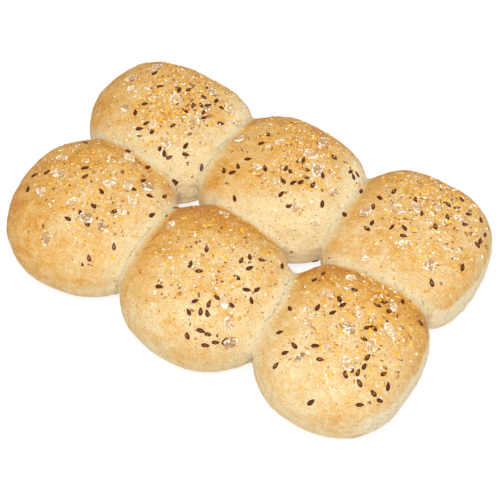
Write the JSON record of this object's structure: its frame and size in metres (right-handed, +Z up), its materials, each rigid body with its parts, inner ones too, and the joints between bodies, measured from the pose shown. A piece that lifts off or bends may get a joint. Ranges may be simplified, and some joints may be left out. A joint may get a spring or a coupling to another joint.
{
  "type": "joined bread roll batch",
  "caption": "Seeded soft bread rolls baked side by side in two rows and still joined, with flax seeds and oat flakes on golden crowns and pale walls where they touch.",
  "frame": {"origin": "middle of the base, on the surface the rolls rest on, at the centre of the batch's length and width", "axes": "+X along the three rolls of a row, which is the longest side; +Y from the front row to the back row; +Z up, which is the shortest side"},
  "size_m": [0.2747, 0.1888, 0.0499],
  "materials": {
    "crust": "baked bread crust, matte, golden brown on the crowns and pale cream on the walls",
    "flax_seed": "smooth slightly glossy brown seed coat",
    "oat_flake": "dull, slightly translucent flake",
    "grit": "dull coarse meal, white to yellow"
  },
  "bodies": {
    "root": {"bread_batch": "crust"}
  },
  "joints": []
}
